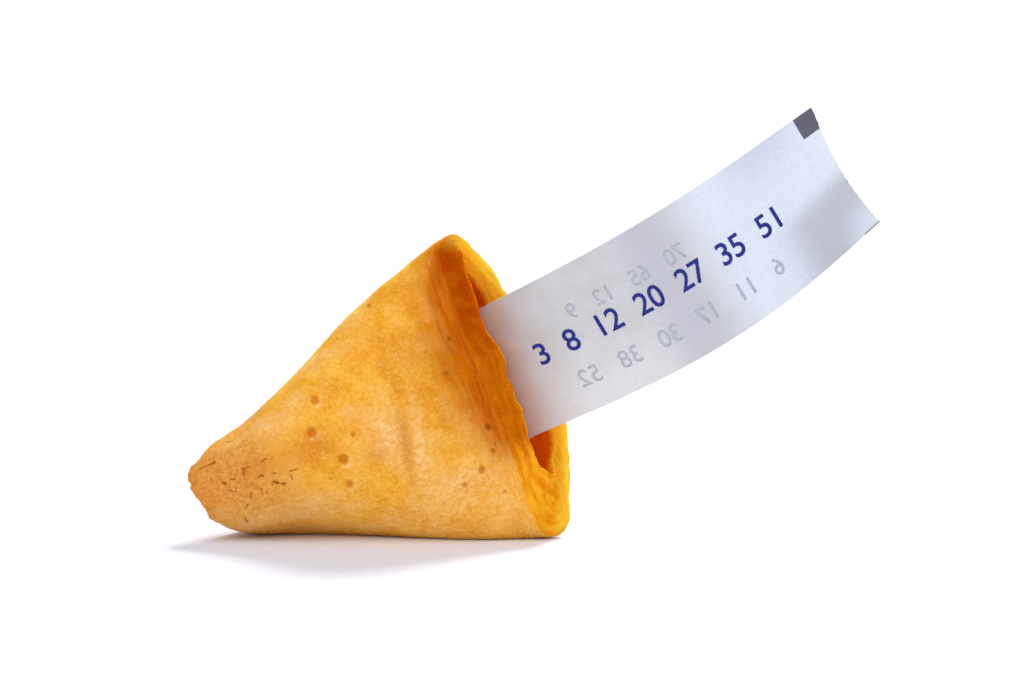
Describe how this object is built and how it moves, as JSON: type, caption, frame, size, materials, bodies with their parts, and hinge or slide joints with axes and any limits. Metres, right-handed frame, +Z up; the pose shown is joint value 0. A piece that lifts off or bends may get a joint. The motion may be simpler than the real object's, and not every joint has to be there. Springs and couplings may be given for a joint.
{
  "type": "fortune cookie",
  "caption": "Half of a fortune cookie, a folded wafer pouch snapped at its middle crease, with its paper slip standing out of the open end.",
  "frame": {"origin": "centre of the bounding box, on the surface the cookie lies on", "axes": "+X from the blunt folded tip towards the snapped opening and the slip's free end, +Y away from the flat near face towards the seam, +Z up"},
  "size_m": [0.0684, 0.0212, 0.0424],
  "materials": {
    "baked_wafer": "golden brown baked wafer, matte with a faint egg glaze, browner at the tip",
    "paper": "thin white uncoated paper"
  },
  "bodies": {
    "root": {"cookie": "baked_wafer", "slip": "paper"}
  },
  "joints": []
}
